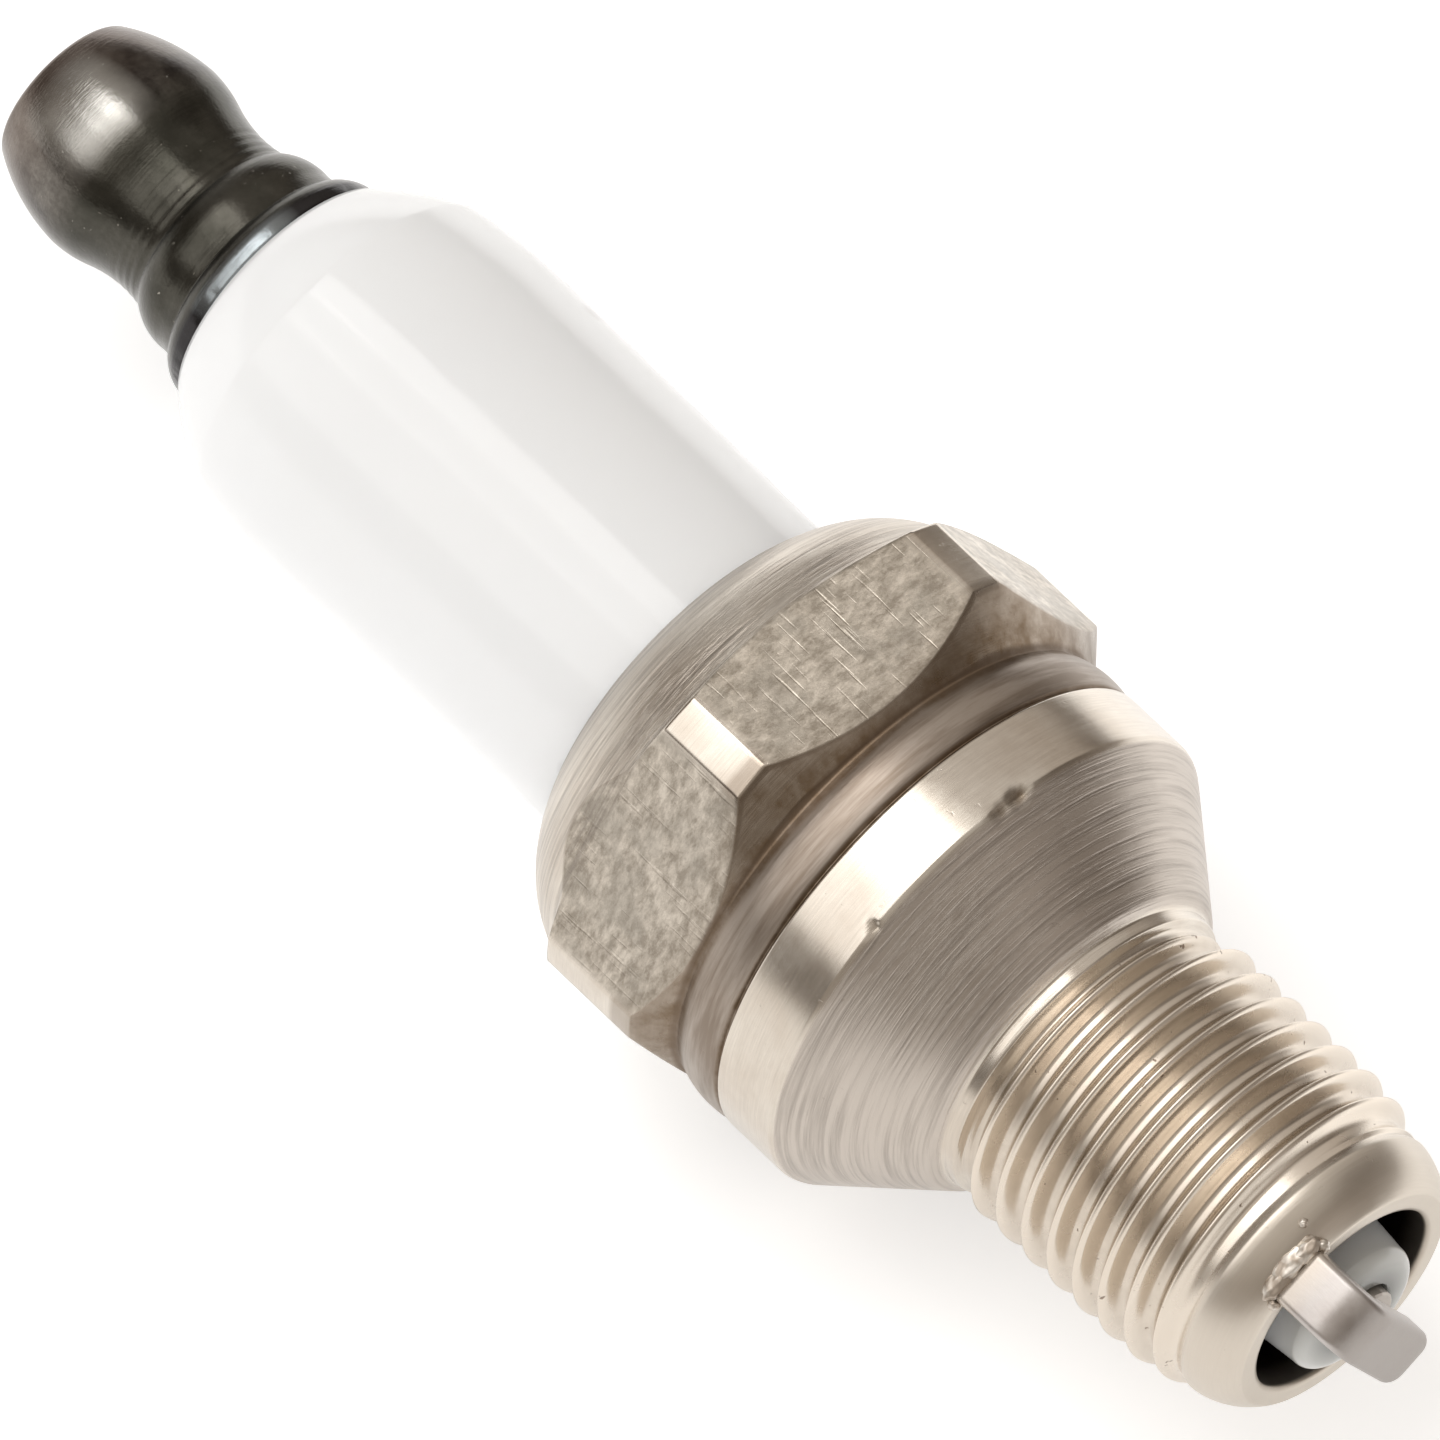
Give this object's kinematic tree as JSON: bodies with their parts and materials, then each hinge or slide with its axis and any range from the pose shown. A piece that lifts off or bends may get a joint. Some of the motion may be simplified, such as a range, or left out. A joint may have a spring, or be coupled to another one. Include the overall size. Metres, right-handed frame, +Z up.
{
  "type": "spark plug",
  "caption": "Spark plug with a push-on terminal, glazed ceramic insulator, hexagon shell, conical seat, fine thread and a bent ground electrode.",
  "frame": {"origin": "middle of the plug's footprint, on the plane that the lower flat of the hexagon rests on", "axes": "+X along the plug's axis towards the electrodes, +Z up, +Y across the plug; the axis is 8 mm above the origin"},
  "size_m": [0.0534, 0.0178, 0.016],
  "materials": {
    "terminal_nut": "blackened, turned, semi-gloss",
    "terminal_stud": "plain, turned",
    "insulator": "white gloss glaze",
    "shell": "nickel plated, turned, pitted hexagon",
    "packing_ring": "plain wire",
    "talc": "pressed powder",
    "seal_washer": "soft steel",
    "glass_seal": "fused copper and glass",
    "resistor": "carbon and glass",
    "centre_electrode": "nickel alloy, satin",
    "copper_core": "copper",
    "ground_electrode": "nickel alloy, satin"
  },
  "bodies": {
    "plug_body": {"shell": "shell", "insulator": "insulator", "terminal_stud": "terminal_stud", "upper_packing_ring": "packing_ring", "talc_packing": "talc", "lower_packing_ring": "packing_ring", "inner_seal_washer": "seal_washer", "upper_glass_seal": "glass_seal", "resistor": "resistor", "lower_glass_seal": "glass_seal", "centre_electrode": "centre_electrode", "centre_electrode_core": "copper_core"},
    "terminal_nut": {"terminal_nut": "terminal_nut"},
    "ground_electrode": {"ground_electrode": "ground_electrode"}
  },
  "joints": [
    {"name": "nut_unscrews", "type": "slide", "parent": "plug_body", "child": "terminal_nut", "axis": [-1, 0, 0], "range_m": [0, 0.01]},
    {"name": "gap_bend", "type": "hinge", "parent": "plug_body", "child": "ground_electrode", "pos_m": [0.02417, -0.0018, 0.01112], "axis": [0, -0.866, -0.5], "range_deg": [-2.8, 2.8]}
  ]
}
